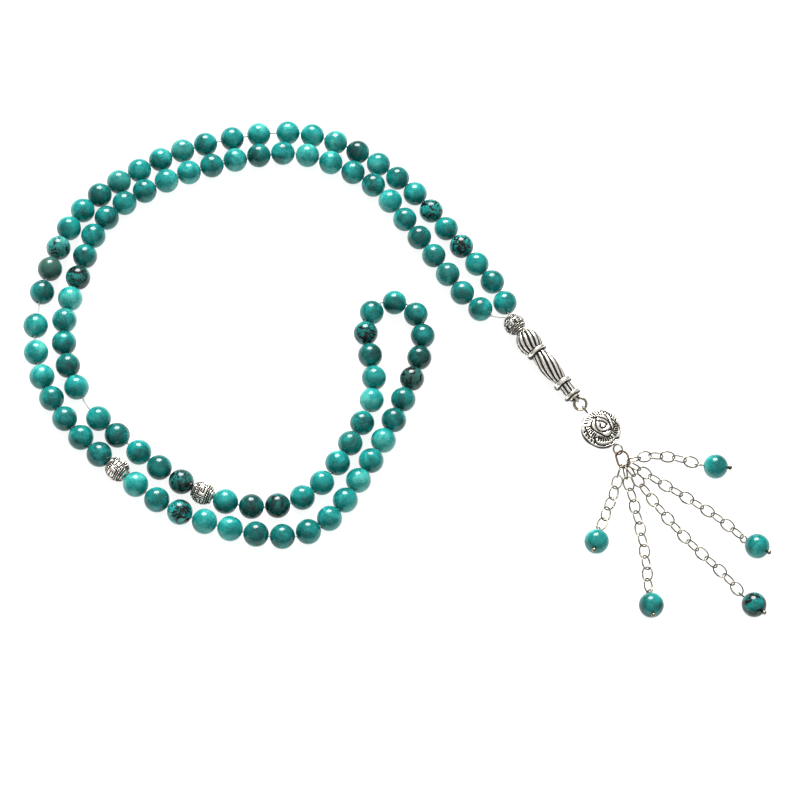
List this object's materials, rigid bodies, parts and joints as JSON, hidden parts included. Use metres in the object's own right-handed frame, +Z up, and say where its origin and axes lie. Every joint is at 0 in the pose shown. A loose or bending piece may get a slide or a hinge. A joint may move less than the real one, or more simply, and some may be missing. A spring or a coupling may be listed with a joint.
{
  "type": "misbaha prayer beads",
  "caption": "Prayer bead strand laid doubled: polished turquoise round beads on a string, engraved silver marker beads, a fluted leader bead, a rose bead and a five-chain beaded tassel.",
  "frame": {"origin": "centre of the laid-out strand's footprint, on the surface it lies on", "axes": "+X along the longer side of the footprint, +Z up from the table"},
  "size_m": [0.2388, 0.1738, 0.0084],
  "materials": {
    "turquoise": "polished turquoise stone, pale aqua to deep teal, some beads with dark matrix veins",
    "antique_silver": "cast silver-tone metal with blackened recesses",
    "antique_wire": "thin antiqued silver-tone wire",
    "bronze_wire": "darkened bronze-tone wire",
    "string": "thin translucent white stringing cord"
  },
  "bodies": {
    "strand_head": {"beads_outer_1": "turquoise", "beads_inner_1": "turquoise", "string_1": "string", "collector_bead": "antique_silver"},
    "strand_2": {"beads_outer_2": "turquoise", "beads_inner_2": "turquoise", "string_2": "string"},
    "strand_3": {"beads_outer_3": "turquoise", "beads_inner_3": "turquoise", "string_3": "string"},
    "strand_4": {"beads_outer_4": "turquoise", "beads_inner_4": "turquoise", "string_4": "string"},
    "strand_5": {"beads_outer_5": "turquoise", "beads_inner_5": "turquoise", "string_5": "string"},
    "strand_6": {"beads_outer_6": "turquoise", "beads_inner_6": "turquoise", "string_6": "string"},
    "strand_7": {"beads_outer_7": "turquoise", "beads_inner_7": "turquoise", "string_7": "string"},
    "strand_tip": {"string_8": "string", "beads_tip": "turquoise"},
    "marker_a": {"marker_bead_a": "antique_silver"},
    "marker_b": {"marker_bead_b": "antique_silver"},
    "slack_bead_outer": {"slack_bead_outer": "turquoise"},
    "slack_bead_inner": {"slack_bead_inner": "turquoise"},
    "leader_string": {"leader_string": "string", "leader_knot": "string"},
    "leader": {"leader_bead": "antique_silver"},
    "ring": {"tassel_ring": "antique_wire"},
    "rose_pin": {"rose_pin": "antique_wire"},
    "rose": {"rose_bead": "antique_silver"},
    "tassel_link": {"tassel_link": "bronze_wire"},
    "chain_a_upper": {"chain_a_upper": "antique_wire"},
    "chain_a_lower": {"chain_a_lower": "antique_wire"},
    "headpin_a": {"headpin_a": "antique_wire"},
    "tassel_bead_a": {"tassel_bead_a": "turquoise"},
    "chain_b_upper": {"chain_b_upper": "antique_wire"},
    "chain_b_lower": {"chain_b_lower": "antique_wire"},
    "headpin_b": {"headpin_b": "antique_wire"},
    "tassel_bead_b": {"tassel_bead_b": "turquoise"},
    "chain_c_upper": {"chain_c_upper": "antique_wire"},
    "chain_c_lower": {"chain_c_lower": "antique_wire"},
    "headpin_c": {"headpin_c": "antique_wire"},
    "tassel_bead_c": {"tassel_bead_c": "turquoise"},
    "chain_d_upper": {"chain_d_upper": "antique_wire"},
    "chain_d_lower": {"chain_d_lower": "antique_wire"},
    "headpin_d": {"headpin_d": "antique_wire"},
    "tassel_bead_d": {"tassel_bead_d": "turquoise"},
    "chain_e_upper": {"chain_e_upper": "antique_wire"},
    "chain_e_lower": {"chain_e_lower": "antique_wire"},
    "headpin_e": {"headpin_e": "antique_wire"},
    "tassel_bead_e": {"tassel_bead_e": "turquoise"}
  },
  "joints": [
    {"name": "fold_1", "type": "hinge", "parent": "strand_head", "child": "strand_2", "pos_m": [0.00923, 0.05932, 0.00407], "axis": [-0.9136, -0.4065, 0], "range_deg": [-22, 22]},
    {"name": "fold_2", "type": "hinge", "parent": "strand_2", "child": "strand_3", "pos_m": [-0.03249, 0.08315, 0.00407], "axis": [-0.1875, -0.9823, 0], "range_deg": [-22, 22]},
    {"name": "fold_3", "type": "hinge", "parent": "strand_3", "child": "strand_4", "pos_m": [-0.08209, 0.06645, 0.00407], "axis": [0.265, -0.9643, 0], "range_deg": [-22, 22]},
    {"name": "fold_4", "type": "hinge", "parent": "strand_4", "child": "strand_5", "pos_m": [-0.11121, 0.02841, 0.00407], "axis": [0.9633, -0.2684, 0], "range_deg": [-22, 22]},
    {"name": "fold_5", "type": "hinge", "parent": "strand_5", "child": "strand_6", "pos_m": [-0.07796, -0.05293, 0.00407], "axis": [0.7429, 0.6694, 0], "range_deg": [-22, 22]},
    {"name": "fold_6", "type": "hinge", "parent": "strand_6", "child": "strand_7", "pos_m": [-0.03112, -0.06502, 0.00407], "axis": [-0.162, 0.9868, 0], "range_deg": [-22, 22]},
    {"name": "fold_7", "type": "hinge", "parent": "strand_7", "child": "strand_tip", "pos_m": [-0.00585, -0.0339, 0.00407], "axis": [-0.7621, 0.6474, 0], "range_deg": [-22, 22]},
    {"name": "marker_a_spin", "type": "hinge", "parent": "strand_5", "child": "marker_a", "pos_m": [-0.08706, -0.04553, 0.00407], "axis": [0.7728, -0.6346, 0], "continuous": true},
    {"name": "marker_b_spin", "type": "hinge", "parent": "strand_6", "child": "marker_b", "pos_m": [-0.06041, -0.05195, 0.00407], "axis": [-0.9139, 0.4059, 0], "continuous": true},
    {"name": "slack_bead_outer_slide", "type": "slide", "parent": "strand_5", "child": "slack_bead_outer", "axis": [-0.054, -0.9985, 0], "range_m": [-0.0041, 0]},
    {"name": "slack_bead_inner_slide", "type": "slide", "parent": "strand_5", "child": "slack_bead_inner", "axis": [-0.5106, 0.8598, 0], "range_m": [-0.0047, 0]},
    {"name": "leader_swing", "type": "hinge", "parent": "strand_head", "child": "leader_string", "pos_m": [0.04105, 0.01181, 0.00448], "axis": [0.7869, 0.617, 0], "range_deg": [-12, 12]},
    {"name": "leader_spin", "type": "hinge", "parent": "leader_string", "child": "leader", "pos_m": [0.04115, 0.0117, 0.00447], "axis": [0.6166, -0.7863, -0.039], "continuous": true},
    {"name": "ring_swing", "type": "hinge", "parent": "leader_string", "child": "ring", "pos_m": [0.05895, -0.011, 0.00335], "axis": [0.7477, 0.5693, 0.3418], "range_deg": [-50, 50]},
    {"name": "rose_swing", "type": "hinge", "parent": "ring", "child": "rose_pin", "pos_m": [0.06135, -0.01407, 0.0032], "axis": [0.7477, 0.5693, 0.3418], "range_deg": [-20, 20]},
    {"name": "rose_spin", "type": "hinge", "parent": "rose_pin", "child": "rose", "pos_m": [0.06675, -0.02095, 0.00285], "axis": [0.6166, -0.7863, -0.039], "continuous": true},
    {"name": "link_swing", "type": "hinge", "parent": "rose_pin", "child": "tassel_link", "pos_m": [0.07309, -0.02905, 0.00245], "axis": [0, 0, 1], "range_deg": [-10, 10]},
    {"name": "chain_a_swing", "type": "hinge", "parent": "tassel_link", "child": "chain_a_upper", "pos_m": [0.07561, -0.03151, 0.00245], "axis": [-0.2743, 0.9617, 0], "range_deg": [-25, 25]},
    {"name": "chain_a_bend", "type": "hinge", "parent": "chain_a_upper", "child": "chain_a_lower", "pos_m": [0.09046, -0.02906, 0.00137], "axis": [0, 0, 1], "range_deg": [-12, 12]},
    {"name": "pin_a_swing", "type": "hinge", "parent": "chain_a_lower", "child": "headpin_a", "pos_m": [0.09771, -0.03069, 0.00078], "axis": [0.3069, 0.9517, 0], "range_deg": [-20, 20]},
    {"name": "bead_a_spin", "type": "hinge", "parent": "headpin_a", "child": "tassel_bead_a", "pos_m": [0.10354, -0.03256, 0.00407], "axis": [0.8382, -0.2703, 0.4737], "continuous": true},
    {"name": "chain_b_swing", "type": "hinge", "parent": "tassel_link", "child": "chain_b_upper", "pos_m": [0.07562, -0.03278, 0.00245], "axis": [0.4353, 0.9003, 0], "range_deg": [-5, 25]},
    {"name": "chain_b_bend", "type": "hinge", "parent": "chain_b_upper", "child": "chain_b_lower", "pos_m": [0.09574, -0.04408, 0.00137], "axis": [0, 0, 1], "range_deg": [-12, 12]},
    {"name": "pin_b_swing", "type": "hinge", "parent": "chain_b_lower", "child": "headpin_b", "pos_m": [0.11101, -0.05555, 0.00078], "axis": [0.6961, 0.718, 0], "range_deg": [-20, 20]},
    {"name": "bead_b_spin", "type": "hinge", "parent": "headpin_b", "child": "tassel_bead_b", "pos_m": [0.11541, -0.05981, 0.00407], "axis": [0.6323, -0.613, 0.4737], "continuous": true},
    {"name": "chain_c_swing", "type": "hinge", "parent": "tassel_link", "child": "chain_c_upper", "pos_m": [0.07496, -0.03372, 0.00245], "axis": [0.7991, 0.6012, 0], "range_deg": [-5, 5]},
    {"name": "chain_c_bend", "type": "hinge", "parent": "chain_c_upper", "child": "chain_c_lower", "pos_m": [0.09387, -0.05811, 0.00137], "axis": [0, 0, 1], "range_deg": [-12, 12]},
    {"name": "pin_c_swing", "type": "hinge", "parent": "chain_c_lower", "child": "headpin_c", "pos_m": [0.10953, -0.07497, 0.00078], "axis": [0.8171, 0.5765, 0], "range_deg": [-20, 20]},
    {"name": "bead_c_spin", "type": "hinge", "parent": "headpin_c", "child": "tassel_bead_c", "pos_m": [0.11306, -0.07998, 0.00407], "axis": [0.5077, -0.7196, 0.4737], "continuous": true},
    {"name": "chain_d_swing", "type": "hinge", "parent": "tassel_link", "child": "chain_d_upper", "pos_m": [0.0739, -0.03413, 0.00245], "axis": [0.9807, 0.1954, 0], "range_deg": [-5, 5]},
    {"name": "chain_d_bend", "type": "hinge", "parent": "chain_d_upper", "child": "chain_d_lower", "pos_m": [0.0781, -0.05284, 0.00137], "axis": [0, 0, 1], "range_deg": [-12, 12]},
    {"name": "pin_d_swing", "type": "hinge", "parent": "chain_d_lower", "child": "headpin_d", "pos_m": [0.08016, -0.07576, 0.00078], "axis": [1, 0.0016, 0], "range_deg": [-20, 20]},
    {"name": "bead_d_spin", "type": "hinge", "parent": "headpin_d", "child": "tassel_bead_d", "pos_m": [0.08017, -0.08188, 0.00407], "axis": [0.0014, -0.8807, 0.4737], "continuous": true},
    {"name": "chain_e_swing", "type": "hinge", "parent": "tassel_link", "child": "chain_e_upper", "pos_m": [0.07273, -0.03384, 0.00245], "axis": [0.9474, -0.32, 0], "range_deg": [-25, 5]},
    {"name": "chain_e_bend", "type": "hinge", "parent": "chain_e_upper", "child": "chain_e_lower", "pos_m": [0.06962, -0.04476, 0.00151], "axis": [0, 0, 1], "range_deg": [-12, 12]},
    {"name": "pin_e_swing", "type": "hinge", "parent": "chain_e_lower", "child": "headpin_e", "pos_m": [0.0656, -0.05538, 0.00078], "axis": [0.9446, -0.3284, 0], "range_deg": [-20, 20]},
    {"name": "bead_e_spin", "type": "hinge", "parent": "headpin_e", "child": "tassel_bead_e", "pos_m": [0.06359, -0.06116, 0.00407], "axis": [-0.2892, -0.8319, 0.4737], "continuous": true}
  ]
}
